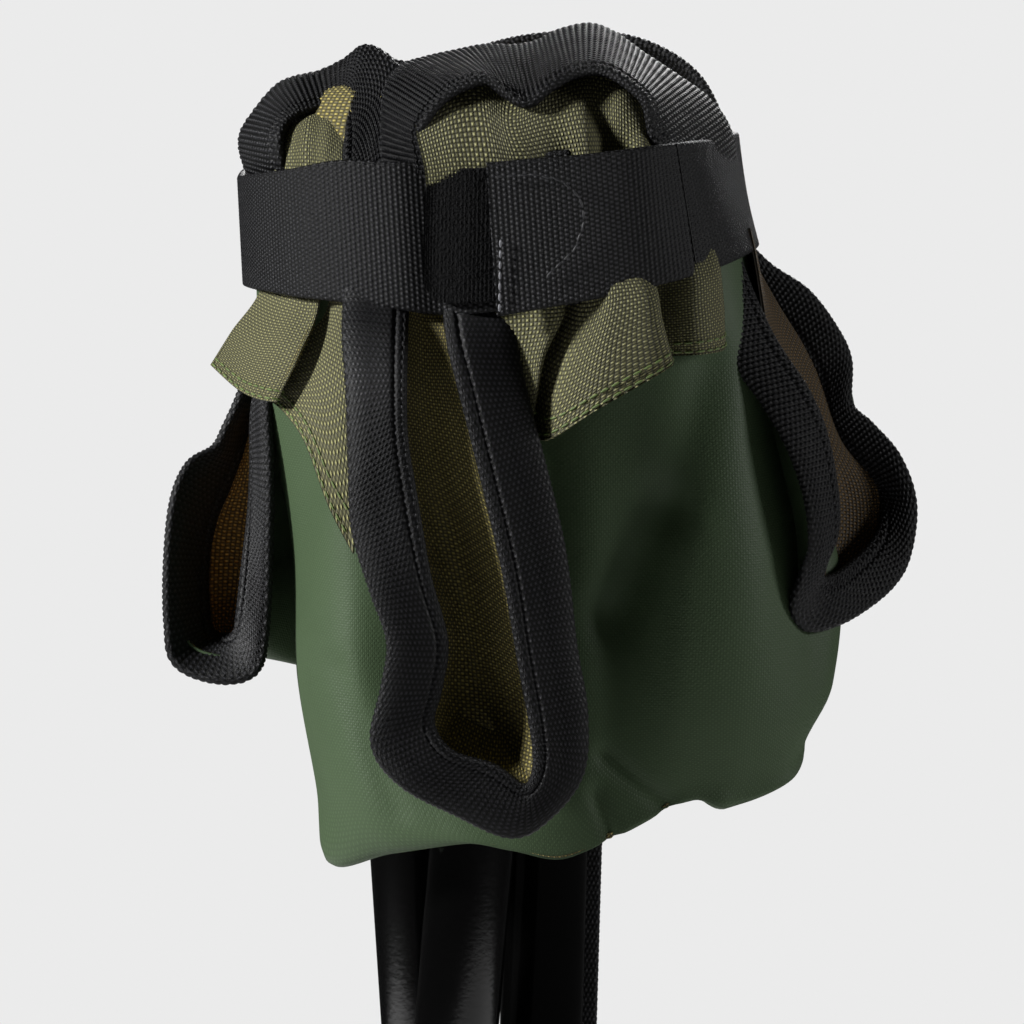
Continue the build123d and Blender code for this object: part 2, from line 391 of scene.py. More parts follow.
class Tree:
    """Short ways to add, set and link the nodes of a node tree."""

    def __init__(self, tree):
        self.nodes, self.links = tree.nodes, tree.links

    def put(self, value, socket):
        """Links a node's output to a socket, or sets the socket's own value."""
        if isinstance(value, bpy.types.NodeSocket):
            self.links.new(value, socket)
        else:
            socket.default_value = value

    def node(self, kind, **values):
        """Adds a node. Capitalised names fill its inputs, and the others set its own properties."""
        made = self.nodes.new(kind)
        for label, value in values.items():
            if label[0].isupper():
                self.put(value, made.inputs[label])
            else:
                setattr(made, label, value)
        return made

    def maths(self, kind, *values):
        made = self.node("ShaderNodeMath", operation=kind)
        for value, socket in zip(values, made.inputs):
            self.put(value, socket)
        return made.outputs[0]

    def add(self, a, b):
        return self.maths("ADD", a, b)

    def times(self, a, b):
        return self.maths("MULTIPLY", a, b)

    def wave(self, a):
        """Rounded humps, one for each unit of the input."""
        return self.maths("ABSOLUTE", self.maths("SINE", self.times(a, math.pi)))

    def odd(self, a):
        """1 where a whole number is odd and 0 where it is even."""
        return self.maths("ABSOLUTE", self.maths("MODULO", a, 2.0))

    def mix(self, factor, a, b):
        """Two colours mixed. The node's colour sockets are its seventh and eighth."""
        made = self.node("ShaderNodeMix", data_type="RGBA", Factor=factor)
        self.put(a, made.inputs[6])
        self.put(b, made.inputs[7])
        return made.outputs[2]

    def group(self, group, vector, **values):
        return self.node("ShaderNodeGroup", node_tree=group, Vector=vector, **values).outputs


def group_of(name, settings, results):
    """A shader node group that reads a vector and some numbers, and puts out numbers."""
    group = bpy.data.node_groups.new(name, "ShaderNodeTree")
    group.interface.new_socket("Vector", in_out="INPUT", socket_type="NodeSocketVector")
    for label, default in settings.items():
        socket = group.interface.new_socket(label, in_out="INPUT", socket_type="NodeSocketFloat")
        socket.default_value = default
    for label in results:
        group.interface.new_socket(label, in_out="OUTPUT", socket_type="NodeSocketFloat")
    tree = Tree(group)
    return group, tree, tree.node("NodeGroupInput").outputs, tree.node("NodeGroupOutput").inputs


def plain_weave_group():
    """Over-and-under yarns: their height, with the crossing yarns higher than the others."""
    group, t, given, result = group_of("plain weave", {"Yarn": 0.0009, "Unevenness": 0.25}, ["Height"])
    noise = t.node("ShaderNodeTexNoise", Scale=160, Vector=given["Vector"])
    wobble = t.times(t.maths("SUBTRACT", noise.outputs[0], 0.5), given["Unevenness"])
    split = t.node("ShaderNodeSeparateXYZ", Vector=given["Vector"]).outputs
    u, v = (t.add(t.maths("DIVIDE", split[k], given["Yarn"]), wobble) for k in (0, 1))
    crossing = t.odd(t.add(t.maths("FLOOR", u), t.maths("FLOOR", v)))
    product = t.times(t.wave(u), t.wave(v))
    under = t.times(t.maths("SUBTRACT", 1.0, crossing), t.times(product, 0.3))
    t.put(t.add(t.times(crossing, product), under), result["Height"])
    return group


def float_group():
    """Where the floats of a woven tape stand up, matching its modelled floats."""
    group, t, given, result = group_of("tape floats", {"Long": 0.0012, "Across": 0.00105}, ["Raised"])
    split = t.node("ShaderNodeSeparateXYZ", Vector=given["Vector"]).outputs
    u = t.maths("DIVIDE", split[0], given["Long"])
    half_over = t.times(t.odd(t.maths("FLOOR", u)), 0.5)
    v = t.add(t.maths("DIVIDE", split[1], given["Across"]), half_over)
    t.put(t.maths("POWER", t.times(t.wave(u), t.wave(v)), 2.4), result["Raised"])
    return group


def fuzz_group():
    """Broad and fine unevenness of colour in dyed cloth."""
    group, t, given, result = group_of("dye unevenness", {"Fine": 900.0}, ["Broad", "Grain"])
    for label, scale in (("Broad", 26.0), ("Grain", given["Fine"])):
        noise = t.node("ShaderNodeTexNoise", Detail=5, Vector=given["Vector"], Scale=scale)
        t.put(noise.outputs[0], result[label])
    return group


class Look(Tree):
    """A material in the making, with its shader's inputs."""

    def __init__(self, name, rough, base, specular=0.5, sheen=0.0):
        self.material = bpy.data.materials.new(name)
        self.material.use_nodes = True
        super().__init__(self.material.node_tree)
        self.shader = self.nodes["Principled BSDF"].inputs
        self.shader["Base Color"].default_value = linear(base)
        self.shader["Roughness"].default_value = rough
        self.shader["Specular IOR Level"].default_value = specular
        if sheen:
            self.shader["Sheen Weight"].default_value = sheen
            self.shader["Sheen Roughness"].default_value = 0.45

    def along_cloth(self):
        """Where a point is along and across its cloth or tape."""
        return self.node("ShaderNodeUVMap", uv_map="weave").outputs[0]

    def in_space(self):
        return self.node("ShaderNodeTexCoord").outputs["Object"]

    def colour(self, value):
        self.put(value, self.shader["Base Color"])

    def roughness(self, pattern, share, least):
        self.put(self.add(self.times(pattern, share), least), self.shader["Roughness"])

    def bump(self, height, distance):
        bump = self.node("ShaderNodeBump", Distance=distance, Height=height)
        self.put(bump.outputs[0], self.shader["Normal"])


def woven_look(name, groups, light, dark, yarn, depth):
    """Open plain-woven cloth, with a painted highlight on its yarn tops and painted shade in its gaps."""
    look = Look(name, 0.62, light, 0.35, 0.05)
    place = look.along_cloth()
    weave = look.group(groups["weave"], place, Yarn=yarn)
    fuzz = look.group(groups["fuzz"], place)
    # The weave's height mixes painted shade into the gaps between yarns and a painted highlight onto their
    # tops.
    tone = look.mix(weave["Height"], linear(dark), linear(shade(light, 1.27)))
    look.colour(look.mix(look.times(fuzz["Broad"], 0.3), tone, linear(shade(light, 0.7))))
    look.bump(look.add(weave["Height"], look.times(fuzz["Grain"], 0.25)), depth)
    return look.material


def coated_look(name, groups, light, dark):
    """Cloth behind a smooth coating, so only a trace of its yarns shows, as a painted highlight on their
    tops.
    """
    look = Look(name, 0.55, light, 0.22)
    place = look.along_cloth()
    weave = look.group(groups["weave"], place, Yarn=0.00055)
    fuzz = look.group(groups["fuzz"], place)
    tone = look.mix(fuzz["Broad"], linear(dark), linear(light))
    # A painted highlight where the yarns stand highest.
    look.colour(look.mix(look.times(weave["Height"], 0.35), tone, linear(shade(light, 1.3))))
    look.roughness(fuzz["Grain"], 0.14, 0.45)
    look.bump(look.add(look.times(weave["Height"], 0.5), fuzz["Grain"]), 0.0001)
    return look.material


def tape_look(name, groups, base, top, long, across):
    """Black woven tape: painted shade in the gaps between its floats, painted highlight flecks on the
    floats, and the filaments of each float.
    """
    look = Look(name, 0.46, base, 0.24)
    place = look.along_cloth()
    floats = look.group(groups["floats"], place, Long=long, Across=across)
    filaments = look.group(groups["weave"], place, Yarn=0.00022)
    fuzz = look.group(groups["fuzz"], place)
    # The floats are flecked towards the lighter colour as painted highlight, and the gaps between them are
    # near black as painted shade.
    tone = look.mix(fuzz["Grain"], linear(base), linear(top))
    look.colour(look.mix(floats["Raised"], linear(shade(base, 0.05)), tone))
    look.roughness(fuzz["Broad"], 0.25, 0.34)
    look.bump(look.add(look.times(filaments["Height"], 0.25), floats["Raised"]), 0.00022)
    return look.material


def pile_look(name, groups, base, top):
    """Short tangled hooks or loops."""
    look = Look(name, 0.9, base, 0.08, 0.02)
    place = look.in_space()
    fuzz = look.group(groups["fuzz"], place, Fine=2600.0)
    cells = look.node("ShaderNodeTexVoronoi", Scale=1500, Vector=place)
    look.colour(look.mix(fuzz["Grain"], linear(base), linear(top)))
    look.bump(look.add(fuzz["Grain"], cells.outputs["Distance"]), 0.0006)
    return look.material


def hard_look(name, groups, base, rough, metallic=0.0, grain=0.00001, specular=0.5):
    """Painted, moulded or plated parts and threads, with fine unevenness in colour and gloss."""
    look = Look(name, rough, base, specular)
    look.shader["Metallic"].default_value = metallic
    fuzz = look.group(groups["fuzz"], look.in_space())
    look.colour(look.mix(fuzz["Grain"], linear(base), linear([c * 1.35 + 3 for c in base])))
    look.roughness(fuzz["Broad"], 0.12, max(0.02, rough - 0.06))
    look.bump(fuzz["Grain"], grain)
    return look.material


# Each hard material and thread: its name, colour, roughness and anything else that isn't usual.
HARD_LOOKS = {
    "tube": ("gloss black tube", (2, 2, 2), 0.1, {"specular": 0.6}),
    "plastic": ("black moulded plastic", (16, 16, 17), 0.48, {"grain": 0.00003}),
    "rubber": ("black rubber", (20, 20, 20), 0.75, {"grain": 0.00008}),
    "zinc": ("zinc plated steel", (178, 180, 182), 0.28, {"metallic": 1.0}),
    "nylon": ("white nylon", (214, 212, 204), 0.5, {}),
    "green_thread": ("green sewing thread", (78, 92, 48), 0.6, {"grain": 0.00004}),
    "pale_thread": ("grey sewing thread", (96, 96, 100), 0.4, {"grain": 0.00004}),
    "black_thread": ("black sewing thread", (30, 30, 32), 0.45, {"grain": 0.00004}),
}


def make_looks(settings):
    """Make every material and keep it in LOOKS."""
    groups = {"weave": plain_weave_group(), "fuzz": fuzz_group(), "floats": float_group()}
    olive = [c * 255 for c in settings.olive]
    green = [c * 255 for c in settings.green]
    # The olive tinted brown: painted shade, the warmer colour the woven side takes in the pouches' shadow.
    painted_shade_tint = shade(olive, 1.0, 0.78, 0.55)
    # Each woven look: its material name, its colour, the painted shade of its yarn gaps, and its bump
    # depth.
    for look, name, light, dark, depth in (
        ("olive", "olive woven cloth", olive, shade(olive, 0.24), 0.0005),
        # The seat's woven side is the olive lightened and warmed, as painted light.
        ("painted_light_seat_side", "seat's woven side with painted light", shade(olive, 1.15, 1.08, 0.9), shade(olive, 0.2), 0.0004),
        # The tinted side lightened, as painted light for the inside of pouch CA.
        ("painted_light_pouch_side", "pouch woven side with painted light", shade(painted_shade_tint, 1.4), shade(painted_shade_tint, 1.4 * 0.2), 0.0004),
        # The tinted side darkened, as painted shade for the inside of pouch BC.
        ("shaded_side", "pouch woven side with painted shade", shade(painted_shade_tint, 0.72), shade(painted_shade_tint, 0.72 * 0.2), 0.0004),
    ):
        LOOKS[look] = woven_look(name, groups, light, dark, settings.yarn, depth)
    LOOKS["green"] = coated_look("green coated cloth", groups, green, shade(green, 0.8))
    # Each tape's second colour is the painted highlight on its floats.
    LOOKS["binding"] = tape_look("black binding tape", groups, (16, 16, 17), (56, 56, 61), 0.0012, 0.00105)
    LOOKS["webbing"] = tape_look("black webbing", groups, (24, 24, 25), (62, 62, 67), 0.00113, 0.001)
    LOOKS["pile"] = pile_look("hook and loop pile", groups, (7, 7, 7), (30, 30, 31))
    for look, (name, colour, rough, others) in HARD_LOOKS.items():
        LOOKS[look] = hard_look(name, groups, colour, rough, **others)


# ---------------------------------------------------------------- stitches


def stitch_group():
    """Stitches along a line: short rounded threads set end to end."""
    group = bpy.data.node_groups.new("stitch row", "GeometryNodeTree")
    face = group.interface
    face.new_socket("Geometry", in_out="INPUT", socket_type="NodeSocketGeometry")
    for label, default in (("Pitch", 0.0028), ("Length", 0.0021), ("Thickness", 0.0005)):
        face.new_socket(label, in_out="INPUT", socket_type="NodeSocketFloat").default_value = default
    face.new_socket("Thread", in_out="INPUT", socket_type="NodeSocketMaterial")
    face.new_socket("Geometry", in_out="OUTPUT", socket_type="NodeSocketGeometry")
    t = Tree(group)
    given = t.node("NodeGroupInput").outputs
    curve = t.node("GeometryNodeMeshToCurve", Mesh=given["Geometry"])
    spaced_out = t.node(
        "GeometryNodeResampleCurve", mode="LENGTH", Curve=curve.outputs[0], Length=given["Pitch"],
    )
    ball = t.node("GeometryNodeMeshUVSphere", Segments=10, Rings=8, Radius=0.5)
    smooth = t.node("GeometryNodeSetShadeSmooth", Geometry=ball.outputs["Mesh"])
    tangent = t.node("GeometryNodeInputTangent")
    turn = t.node("FunctionNodeAlignRotationToVector", axis="Z", Vector=tangent.outputs[0])
    thick = given["Thickness"]
    size = t.node("ShaderNodeCombineXYZ", X=thick, Y=thick, Z=given["Length"])
    threads = t.node(
        "GeometryNodeInstanceOnPoints", Points=spaced_out.outputs[0], Instance=smooth.outputs[0],
        Rotation=turn.outputs[0], Scale=size.outputs[0],
    )
    real = t.node("GeometryNodeRealizeInstances", Geometry=threads.outputs[0])
    paint = t.node("GeometryNodeSetMaterial", Geometry=real.outputs[0], Material=given["Thread"])
    t.node("NodeGroupOutput", Geometry=paint.outputs[0])
    return group


def stitches(name, lines, thread, body, slot, pitch=2.8, length=2.2, thickness=0.55):
    """Rows of stitches along lines of points in millimetres, as one plain mesh."""
    group = bpy.data.node_groups.get("stitch row") or stitch_group()
    places, edges = [], []
    for line in lines:
        base = len(places)
        places += [[c * MM for c in point] for point in line]
        edges += [(base + i, base + i + 1) for i in range(len(line) - 1)]
    mesh = bpy.data.meshes.new(name + "_line")
    mesh.from_pydata(places, edges, [])
    holder = add_piece(name + "_line", mesh)
    modifier = holder.modifiers.new("stitches", "NODES")
    modifier.node_group = group
    sizes = {"Pitch": pitch, "Length": length, "Thickness": thickness}
    values = {**{label: size * MM for label, size in sizes.items()}, "Thread": LOOKS[thread]}
    for item in group.interface.items_tree:
        if item.in_out == "INPUT" and item.name in values:
            modifier[item.identifier] = values[item.name]
    bpy.context.view_layer.update()
    ready = holder.evaluated_get(bpy.context.evaluated_depsgraph_get())
    result = bpy.data.meshes.new_from_object(ready)
    bpy.data.objects.remove(holder)
    if not len(result.vertices):
        raise RuntimeError(f"{name}: the stitch row came out empty")
    return settle(add_piece(name, result), body, slot)


def line_on(places, normals, down_at, from_end, lift=0.12, span=(0.0, 1.0)):
    """The line on a cloth's outer side at a distance from its lower edge."""
    at = np.interp(down_at[-1] - from_end, down_at, np.arange(len(down_at)))
    low = int(at)
    share = at - low
    high = min(low + 1, len(down_at) - 1)
    line = places[low] * (1 - share) + places[high] * share + normals[low] * lift
    first, last = (int(s * (len(line) - 1)) for s in span)
    return line[first : last + 1].tolist()


# ---------------------------------------------------------------- shapes of the soft goods

# The seat's coated side, as it hangs round the legs. Columns run round the bundle from the left
# silhouette across the front, and rows run down from under the closing strap to the tucked-in end.
SHELL_ROWS = grid_of("""
    -64,1,556 -55,-21,556 -43,-34,556 -28,-38,556 -9,-39,556 8,-40,556 20,-38,556 33,-31,556 40,-20,556
    43,-6,556 43,8,556 33,30,556 5,45.5,556 -41,37.5,556;
    -63,0,530 -56,-23,530 -45,-34,530 -28,-36,530 -9,-37,530 7,-38,530 20,-38,530 33,-34,530 43,-26,530
    48,-14,530 49,2,530 38,28,530 5,44,530 -40,34,530;
    -61.5,3,507 -50.5,-21,507 -43,-32,507 -27,-34,507 -10,-35,507 8,-37,507 20,-36,507 32,-36,507 45,-29,507
    51,-14,507 54,2,507 46,32,507 5,48,507 -40,37,507;
    -55,3,478 -51,-20,478 -42,-33,478 -27,-34,478 -10,-35,478 9,-37,478 20,-35,478 33,-38,478 47,-33,478
    58,-18,478 67,-2,478 51,34,478 5,48,478 -38,37,478;
    -53,3,450 -51,-20,450 -41,-35,450 -27,-35,450 -10,-36,450 9,-40,450 18,-38,450 32,-39,450 47,-34,450
    60,-22,450 66.5,-6,451 51,34,450 5,46,450 -38,34,450;
    -48,2,431 -47,-20.5,423 -37,-37,425 -20,-44,424 -6,-46,422 7,-45,420 18,-42,426 33,-38,432 46,-33,432
    57.5,-24,435 60.5,-6,441 46,31,433 4,42,420 -37,31,430;
    -45,2,429 -46,-21,410.8 -32,-36.5,415.2 -14,-45,419 -5,-46,418 6,-45,416.5 19,-42,421 34,-37,428
    43,-33,426 56.5,-24,431 57.5,-8,437 43,29,430 4,40,418 -36,29,428;
    -40,1,432 -41,-17,415.5 -28,-31,420 -13,-38,423 -5,-39,422 5,-38,421 16,-35,425 29,-30,432 36,-26,433
    45,-18,436 46,-5,443 36,23,434 4,33,423 -32,25,431;
    -36,1,452 -34,-12,446 -25,-25,446 -12,-31,448 -4,-32,448 4,-31,447 13,-29,449 24,-24,452 30,-20,455
    35,-13,457 37,-3,458 30,18,454 4,27,448 -28,20,451
""")

# Corner pockets: patches of olive cloth over the coated side, from each corner's rim to the hem.
POCKET_A = grid_of("""
    -62,-8,575 -58.5,-12,577 -56,-14,577.5 -53.5,-15.5,578 -51,-16,578 -48.5,-17,579 -46,-18,579 -43,-20,578
    -40,-24,575;
    -63,-12,570 -60.5,-19,570 -58,-23.5,571 -55,-26.5,572 -52,-28,573 -49,-29.5,573 -46,-31,572
    -43,-32.5,570 -40,-34,567;
    -63.5,-13,563 -61,-20,563 -58.5,-25.5,563 -55,-30.5,563 -52,-33.5,563 -49,-36,563 -46,-38,562
    -42,-40,560 -38,-40.5,558;
    -62,-12,552 -59,-20,552 -55,-27,552 -50.5,-32,552 -48.5,-33,552 -46,-35,552 -43,-37.5,552 -39,-39.5,550
    -35,-40,549;
    -62.5,-11,537 -58.5,-22,536 -53,-31,535 -48.5,-35.5,535 -49,-31,535 -46.5,-34.5,534 -44,-39,534
    -41,-42.5,533 -37,-44,532;
    -69,-13,527 -63,-25,525 -57,-35,525 -52,-40,524 -54,-29,524 -50,-36,522 -47,-43,520 -42.5,-48,517
    -38,-50,513;
    -73.5,-14,519.5 -67,-24,515 -62,-32,513.5 -57,-36,513 -59,-23,512 -56,-32,510.5 -51,-41,505
    -45.5,-46,492 -40,-48,482
""")
POCKET_B = grid_of("""
    -28,-44,577 -21,-38,585 -15,-38,586 -7,-40,582 -1,-38,585 6,-34,588 11,-34,588 16,-35,586 20,-36,581
    24,-36,576 28,-33,572 33,-27,569;
    -28,-47,572 -21,-46,576 -14,-45,577 -8,-46.5,574 -1,-45,576 7,-43.5,578 11,-41,578 16,-42.5,577
    20.5,-42,574 24,-38,571 28,-34,569 34,-28,567;
    -26,-48,564 -19,-49,565 -12,-49,565 -5,-49,565 2,-47,566 9,-48,567 12.5,-43,567 16,-43,567 20.5,-45,567
    24,-40,567 28,-35,566 35,-28,565;
    -24,-43,552 -17,-44,552 -10,-44,552 -3,-44,552 4,-42,553 9,-44,554 13,-43,554 17,-42,555 21,-41,555
    26,-38,556 31,-35,557 37,-28,558;
    -14,-45,536 -4,-48,537 3,-50,537.5 5,-41,538 9,-50,538 15,-52,540 22,-50,541 23,-41,542 26,-40,543
    31,-43,544 36,-39,545 38,-29,546;
    -11,-45,522 -4,-48,523 0,-49,524 0,-41,524 5,-50,523 13.5,-53,527 24.5,-51,532 23.5,-41,534 27,-40,534
    32,-43,535 37,-38.5,536 39,-29,537;
    -8,-45,508 -3.5,-48,507.5 -2,-48,508 -3,-42,508 1,-50,507.5 12,-53,514.5 27,-50,523.5 24,-41,524
    27.5,-40,525 33,-42,525.5 38,-37,526 40,-28,527
""")
POCKET_C = grid_of("""
    34,26,570 28,33,579 15,38,584.5 0,40,586.5 -12,40,583.5 -26,38,577.5 -38,34,570;
    35.5,26,564 28,34,566 16,43,568 0,46,569 -12,46,568 -28,44,566 -42,36,563;
    36.5,24,552 28.5,33.5,552 17,43.5,552 0,47.3,551 -12,47.6,551 -28,45,550 -45,37,549;
    35,28,537 28,36.5,535 16,44.5,534 2,47.8,533 -10,48,532 -22,46,532 -36,37,533;
    34,34,528 27,42,522 16,52,517 2,57,515 -9,52,514 -19,49,515 -30,42,520;
    31,37,520 25,44,513 15,54,508 1,59,506 -8,54,505 -16,50,509 -26,44,514
""")

# Each hanging side opens as a pouch: the seat's woven side within its binding, deeper in its middle.
SIDE_AB = grid_of("""
    -30.5,-41,545 -28,-40.5,545 -26,-40,545 -24,-40,545 -22,-40.5,545 -20,-41,545;
    -30.5,-50,524 -28,-49,523 -25,-48,522 -22,-48.5,522 -19,-49.5,522 -16,-50.5,521;
    -31,-56,507 -27,-49,506 -23,-47.5,505 -18,-50,504 -14,-52.5,503 -10,-54,502;
    -29,-58,491 -24,-47,489 -19,-45,488 -14,-49.5,486 -9,-54,484 -5,-56.5,482;
    -23,-59,470 -19,-46,468 -15,-42,467 -10,-47,466 -6,-52,465 -2,-57,464;
    -24,-59,454 -19,-47,452 -13,-43,451 -8,-47,451 -3,-53,450 1,-58,449;
    -20,-59,441 -16,-50,438 -12,-47,437 -8,-48,436 -4,-53,435 1,-59,435
""")
SIDE_BC = grid_of("""
    45,-18,552 45,-14,551 44,-10,550 44,-7,549 44,-3,546;
    50,-20,529 51,-14,529 53,-7,529 57,-2,528 60,2,525;
    57,-22,517 57,-14,517 58,-5,517 61,0,517 64.5,4,515;
    62,-23,506 61,-14,506 62,-5,506 66,0,505 69,4,503;
    65,-23,496 64,-13,496 67,-3,495 73,1,494 78,3,494;
    65.5,-22,484 65,-13,484 68,-4,484 74,-1,483 78,-1,483;
    63,-20,476 64,-13,474 66,-8,473 71,-8,474 75,-8,476
""")
SIDE_CA = grid_of("""
    -66,3,508 -65.5,4,508 -65,4,508 -64,2,508 -62,-4,508;
    -69,4,494 -68,5,494 -66,5,494 -64,3,494 -62,-6,494;
    -74,3,483 -71,5,482 -68,5,482 -65,3,481 -62,-7,480;
    -75,1,468 -72,4,468 -69,5,468 -66,2,468 -62,-8,467;
    -74,-1,457 -72,1,457 -70,1,457 -68,-1,457 -65,-8,457
""")

# The pouches' coated outer sides, from the folded edge back to the bundle.
HULL_AB = grid_of("""
    -41,-41.5,538 -40.5,-55,508 -37,-59,482 -33,-61,460 -33,-61,446 -27,-61,437 -12,-61,429 1,-58,431
    7.5,-54.5,445 5.5,-53,470 0,-50.5,498 -9,-46,530;
    -39,-40.5,538 -38,-50,508 -33,-53,482 -29,-54,460 -28,-54,448 -22,-55,441 -10,-55,434 -1,-53,436
    4,-50,447 3,-48,470 -3,-46,498 -11,-44,530;
    -36,-40,538 -34,-43,508 -30,-44,482 -25,-45,462 -23,-45,452 -18,-46,446 -9,-46,442 -2,-45,443 1,-44,450
    0,-42,470 -5,-41,498 -12,-41,530
""")
HULL_BC = grid_of("""
    41,-22,546 44,-26,522 52,-28,507 60,-28,488 58.5,-26,475 61,-21,466 72,-12,469.5 82,-4,478 83,2,492
    74.5,4,505 69.5,4,520 58,1,535;
    41,-19,546 46,-21,524 53,-22,507 58,-22,488 57,-20,474 62,-14,468 70,-6,470 76,1,481 76,6,492 68,8,505
    63,8,519 52,5,535;
    40,-15,546 46,-14,524 50,-14,507 53,-13,488 54,-12,478 57,-7,476 60,2,479 60,9,485 57,14,494 51,15,508
    47,15,522 44,10,536
""")
HULL_CA = grid_of("""
    -68,2,510 -72,0,501 -79,-4,494 -82.5,-7,472 -80,-10,456 -70,-12,452 -63,-13,454 -60,-11,467 -60,-9,480
    -60,-8,509;
    -67,8,509 -70,10,501 -75,9,492 -78.5,7,472 -76,5,456 -68,4,451 -61,3,452 -58,1,467 -58,0,480 -58,0,509;
    -51,18,509 -49,20,500 -48,21,490 -47,22,468 -46,20,449 -47,18,446 -48,15,447 -49,12,465 -50,10,480
    -52,6,509
""")

EDGE_AB = grid_of("""
    -42,-39.5,556 -31,-41,556; -42,-40.5,546 -30,-42,545; -42,-43.5,537 -30,-44.3,536;
    -42,-49,529 -30,-50.5,528; -41,-54,518 -30,-55.5,519; -40,-57,501 -29.5,-57,508;
    -39,-58,488 -27,-58,494; -35,-60,476 -24,-59,479; -31,-61,465 -20,-59,465; -32,-61,455 -21,-59,455;
    -34,-61,443 -22.5,-59,447; -28,-62,435 -18,-60,441; -17,-61,429 -9,-60,438; -5,-60,424 -3,-60,434;
    3,-59,428 -0.5,-60,435; 9.5,-57,437 0.5,-59.5,440; 10,-56,450 -0.5,-59,448;
    7.5,-55,464 -3.5,-58.5,463; 4.5,-54,485 -7,-57.5,481; -1.5,-52,508 -13,-55,504;
    -4.5,-50,519 -17,-53,519; -6.5,-48,528 -19.5,-50,528; -8,-44.6,537 -21,-44.6,537;
    -8.5,-42.5,546 -23,-42,546; -9,-42,556 -24,-41,556
""")
EDGE_BC = grid_of("""
    36,-20,556 41,-16,556; 38.5,-22,546 43.5,-18,544; 41,-27,527 50,-22,529; 49,-29,515 58,-24,517;
    55,-30,505 62.5,-24,507; 59,-30,494 65,-25,495; 60.5,-29,483 65.5,-24,485.5;
    58.5,-28,476 63.5,-23,479; 57,-26,469 63,-20,475; 60,-22,464.5 65,-17,474.5;
    66.5,-17,465 68,-14,475.5; 73,-12,468 71,-10,477.5; 79.5,-7,473 75,-5,481; 83,-3,479 77.5,-1,485;
    84,1,490 77.5,3,491; 80.5,3,500 74.5,4,496; 74.5,4,507 69,4,502; 69.5,4,512 65,4,508;
    69,4,522 62.5,4,517; 65.5,2,529 59,2,523.5; 59,0,537 53,0,531; 50,-2,543 47,-2,537;
    42,-4,551 40,-4,543
""")
EDGE_CA = grid_of("""
    -64,0,520 -62,4,519; -67,0,511 -64.5,4,510; -70,-1,504 -66,5,504; -72.5,-2,499.5 -67.5,4.5,498;
    -78,-5,496 -70,3.5,491; -81,-8,488 -73,2,483; -82,-10,474 -74.5,1,473; -81.7,-11,461 -74,-1,462;
    -80,-12,453 -72.5,-3,458.5; -71,-14,449.8 -69,-6,458.5; -63.5,-14,451.5 -67.5,-8,462;
    -61.3,-12,460 -66.3,-8,472; -61,-10,480 -65.3,-6,485; -61.2,-9,496 -65,-5,496;
    -62,-8,510 -65.2,-4,507; -62,-7,520 -64,-4,517
""")
EDGE_A = grid_of("""
    -62,-6,553 -54,-24,553; -67,-8,563 -57.5,-27,561; -68,-10,570 -59,-29,569;
    -64.5,-12,576 -57.5,-27,574; -60,-15,581 -55,-26,576; -56,-17,583 -52.5,-25,577;
    -50,-17,584.5 -48,-24,578; -45,-18,587 -44.5,-26,578; -41,-19,590 -43,-30,576;
    -37,-22,589 -43,-34,573; -33,-28,585 -43,-37,570; -33,-35,577 -43,-39,566; -34,-40,568 -43,-40,561;
    -34,-41,554 -43,-40,553
""")
EDGE_B = grid_of("""
    -34,-41,554 -25,-42,554; -35,-41.5,565 -26.5,-46,564; -35.5,-39.5,574 -28,-47,571;
    -35,-36,581 -26,-47.5,576; -32,-30,586 -22,-46.5,580.5; -27,-26,588 -17.5,-45.5,583;
    -21,-24,589.5 -13,-45,584; -14,-22,591 -8.5,-45.5,581; -8,-23,591 -4.4,-46,579.3;
    -3,-22,592 -0.5,-44.5,582.5; 2,-20,594.5 4.2,-42.5,585.3; 9,-18,596 8.5,-41.5,586.4;
    15,-16,594 12.8,-41.5,586.2; 21,-14,590 17.5,-43,583.5; 29,-11,585 21.4,-43.5,579.5;
    36,-9,580 23.5,-42.5,572; 41,-6,573 28,-40,565; 43,-2,562 34,-35,556
""")
EDGE_C = grid_of("""
    44,8,562 40,22,561; 41,9,573 37,25,571; 35,14,585 31,33,580; 25,20,592 21,40,583; 12,24,595 10,43,587;
    -4,26,594 -3,44,587; -16,25,591 -15,44,583; -28,22,587 -28,42,578; -41,20,588 -41,39,575;
    -52,20,583.5 -50.5,36,570; -62,16,569 -57.5,31,561
""")

# The strap's middle line: x, y, height of its middle and half its width, from the underlapping end
# round the left side and the back to the free end of the tab in front.
STRAP = row_of("""
    6,-48,552.5,15.6 -6,-48.5,551.2,15.6 -16,-48,550.2,15.7 -23,-45.7,549.6,15.6 -32,-46.5,549.8,15
    -44,-42.5,550.4,14.4 -55,-34.5,549.6,13 -64,-20.5,549.2,11.9 -68.3,-3,548.8,11.6 -66.5,14,549,13.5
    -58,29,548.5,15 -44,41,548.5,16 -27,48,549,16 -8,50.5,550,16 12,48,552,16 27,40,554.5,15.8
    38,28,557,14.8 45,13,559,13 46.8,-2,560,11.8 44.5,-18,559.2,11.6 38.5,-33,558,12.5 31,-43,556.6,13.3
    21,-49.5,554.8,14 9,-53,552.7,14.5 -2,-54.3,551.1,15 -11.5,-54.3,549.7,15.4
""")
# The tab is what lies past this control point.
TAB_START = 21
LOOP_PATCH = row_of("""
    10,-49.4,553.2,13.8 4,-49.9,552.3,13.8 -6,-50.4,551.2,13.8 -15,-49.9,550.4,13.8 -20,-48.8,550,13.8
    -24,-47.6,549.7,12.4 -26,-47.4,549.5,9.5
""")
HOOK_PATCH = row_of("""
    15,-48.5,553.4,11.8 9,-50.2,552,12 2,-51.2,550.8,12.2 -8,-51.5,549.4,12.6
""")
